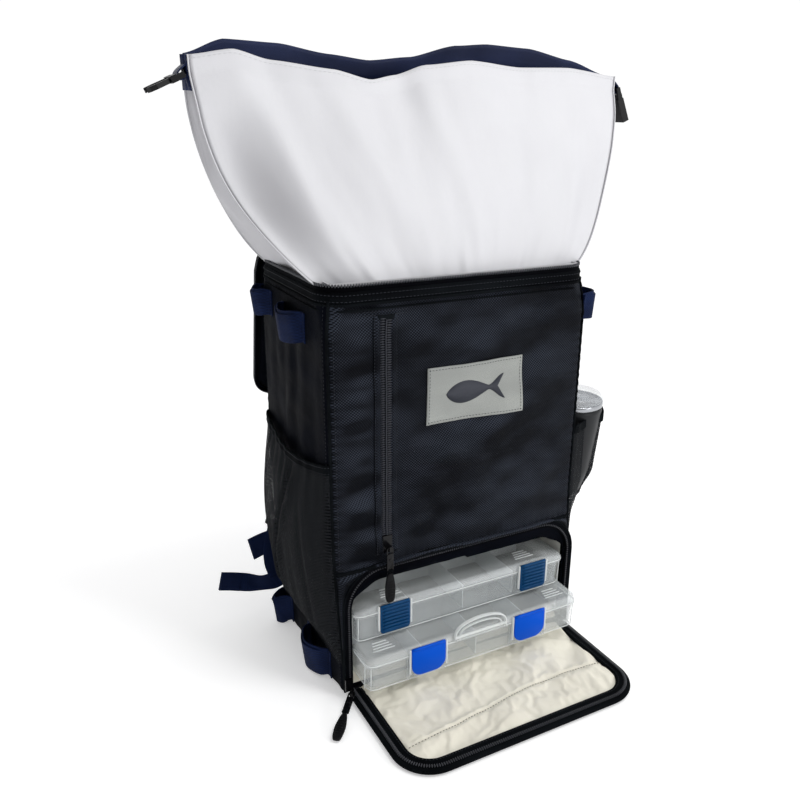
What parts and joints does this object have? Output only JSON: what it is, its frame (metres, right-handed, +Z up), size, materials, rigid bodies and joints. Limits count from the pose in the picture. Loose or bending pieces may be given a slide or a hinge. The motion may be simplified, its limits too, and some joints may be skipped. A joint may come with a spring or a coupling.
{
  "type": "tackle backpack",
  "caption": "Soft cooler backpack with a roll-top liner over a fold-down tackle bay holding two clear utility trays.",
  "frame": {"origin": "centre of the base on the ground", "axes": "+X across the bag to the right seen from the front, +Y towards the wearer's back panel, +Z up"},
  "size_m": [0.5414, 0.3861, 0.655],
  "materials": {
    "nylon": "woven polyester, slight sheen",
    "foam": "closed-cell foam",
    "board": "stiffener",
    "liner": "welded coated fabric",
    "door_lining": "coated cream fabric",
    "webbing": "navy webbing",
    "zip": "zip tape with coil",
    "patch": "sewn grey patch",
    "mesh": "stretch mesh",
    "clear_plastic": "frosted clear polypropylene",
    "latch_navy": "ribbed latch",
    "latch_blue": "rounded latch",
    "buckle": "moulded acetal",
    "slider": "gloss black",
    "grip": "moulded pull",
    "steel": "powder coated steel",
    "clear_lid": "clear plastic"
  },
  "bodies": {
    "pack": {"base_panel": "nylon", "base_board": "board", "front_panel": "nylon", "door_frame": "nylon", "side_panels": "nylon", "back_panel": "nylon", "bay_shelf": "board", "foam_panels": "foam", "bay_floor_pad": "door_lining", "bay_walls": "door_lining", "liner_bucket": "liner", "liner_collar": "liner", "rim_band": "nylon", "rim_zip_tape": "zip", "lid_hinge_strip": "nylon", "door_frame_tape": "zip", "pocket_zip_tape": "zip", "pocket_pouch": "nylon", "label_patch": "patch", "mesh_pocket_left": "mesh", "mesh_pocket_right": "mesh", "pocket_hems": "nylon", "gear_loops_left": "webbing", "gear_loops_right": "webbing", "back_pad": "nylon", "shoulder_straps": "nylon", "strap_webs": "webbing", "strap_anchors": "webbing", "ladder_locks": "buckle", "haul_handle": "webbing"},
    "lid": {"lid_shell": "nylon", "lid_foam": "foam", "lid_lining": "liner", "lid_zip_tape": "zip"},
    "door": {"door_shell": "nylon", "door_pad": "foam", "door_lining": "door_lining", "door_zip_tape": "zip"},
    "roll_top": {"mouth_band_front": "webbing", "mouth_band_rear": "webbing", "mouth_loops": "webbing"},
    "buckle_left": {"buckle_male": "buckle"},
    "buckle_right": {"buckle_female": "buckle"},
    "lower_tray": {"lower_tray_base": "clear_plastic", "lower_tray_dividers": "clear_plastic", "lower_tray_lid": "clear_plastic", "lower_tray_handle": "clear_plastic"},
    "lower_latch_left": {"lower_tray_latch_left": "latch_blue"},
    "lower_latch_right": {"lower_tray_latch_right": "latch_blue"},
    "upper_tray": {"upper_tray_base": "clear_plastic", "upper_tray_dividers": "clear_plastic", "upper_tray_lid": "clear_plastic"},
    "upper_latch_left": {"upper_tray_latch_left": "latch_navy"},
    "upper_latch_right": {"upper_tray_latch_right": "latch_navy"},
    "pocket_zip": {"pocket_slider": "slider"},
    "pocket_zip_pull": {"pocket_pull": "grip"},
    "door_zip": {"door_slider": "slider"},
    "door_zip_pull": {"door_pull": "grip"},
    "tumbler": {"tumbler_cup": "steel", "tumbler_lid": "clear_lid"}
  },
  "joints": [
    {"name": "lid_hinge", "type": "hinge", "parent": "pack", "child": "lid", "pos_m": [0, 0.099, 0.472], "axis": [1, 0, 0], "range_deg": [0, 183]},
    {"name": "door_hinge", "type": "hinge", "parent": "pack", "child": "door", "pos_m": [0, -0.098, 0.007], "axis": [-1, 0, 0], "range_deg": [0, 90]},
    {"name": "lower_tray_slide", "type": "slide", "parent": "pack", "child": "lower_tray", "axis": [0, 1, 0], "range_m": [0, 0.04175]},
    {"name": "upper_tray_slide", "type": "slide", "parent": "pack", "child": "upper_tray", "axis": [0, 1, 0], "range_m": [0, 0.00975]},
    {"name": "lower_latch_left_hinge", "type": "hinge", "parent": "lower_tray", "child": "lower_latch_left", "pos_m": [-0.061, -0.1371, 0.065], "axis": [1, 0, 0], "range_deg": [-85, 0]},
    {"name": "lower_latch_right_hinge", "type": "hinge", "parent": "lower_tray", "child": "lower_latch_right", "pos_m": [0.073, -0.1371, 0.065], "axis": [1, 0, 0], "range_deg": [-85, 0]},
    {"name": "upper_latch_left_hinge", "type": "hinge", "parent": "upper_tray", "child": "upper_latch_left", "pos_m": [-0.086, -0.1051, 0.1079], "axis": [1, 0, 0], "range_deg": [-85, 0]},
    {"name": "upper_latch_right_hinge", "type": "hinge", "parent": "upper_tray", "child": "upper_latch_right", "pos_m": [0.098, -0.1051, 0.1079], "axis": [1, 0, 0], "range_deg": [-85, 0]},
    {"name": "roll_top_fold", "type": "hinge", "parent": "pack", "child": "roll_top", "pos_m": [0, -0.051, 0.545], "axis": [1, 0, 0], "range_deg": [0, 140], "deforming": ["liner_collar"]},
    {"name": "buckle_left_swing", "type": "hinge", "parent": "roll_top", "child": "buckle_left", "pos_m": [-0.2465, 0, 0.639], "axis": [0, 1, 0], "range_deg": [-66, 30]},
    {"name": "buckle_right_swing", "type": "hinge", "parent": "roll_top", "child": "buckle_right", "pos_m": [0.2465, 0, 0.639], "axis": [0, 1, 0], "range_deg": [-70, 22]},
    {"name": "pocket_zip_slide", "type": "slide", "parent": "pack", "child": "pocket_zip", "axis": [0, 0, 1], "range_m": [0, 0.232]},
    {"name": "pocket_pull_swing", "type": "hinge", "parent": "pocket_zip", "child": "pocket_zip_pull", "pos_m": [-0.093, -0.1065, 0.1783], "axis": [-1, 0, 0], "range_deg": [0, 100]},
    {"name": "door_zip_slide", "type": "slide", "parent": "pack", "child": "door_zip", "axis": [0, 0, 1], "range_m": [0, 0.09]},
    {"name": "door_pull_swing", "type": "hinge", "parent": "door_zip", "child": "door_zip_pull", "pos_m": [-0.14, -0.1057, 0.0094], "axis": [-0.788, 0.6157, 0], "range_deg": [0, 80]},
    {"name": "tumbler_lift", "type": "slide", "parent": "pack", "child": "tumbler", "axis": [0, 0, 1], "range_m": [0, 0.095]}
  ],
  "couplings": [
    {"joint": "lower_tray_slide", "follows": "door_hinge", "m_per_rad": 0.026547},
    {"joint": "upper_tray_slide", "follows": "door_hinge", "m_per_rad": 0.006175}
  ]
}
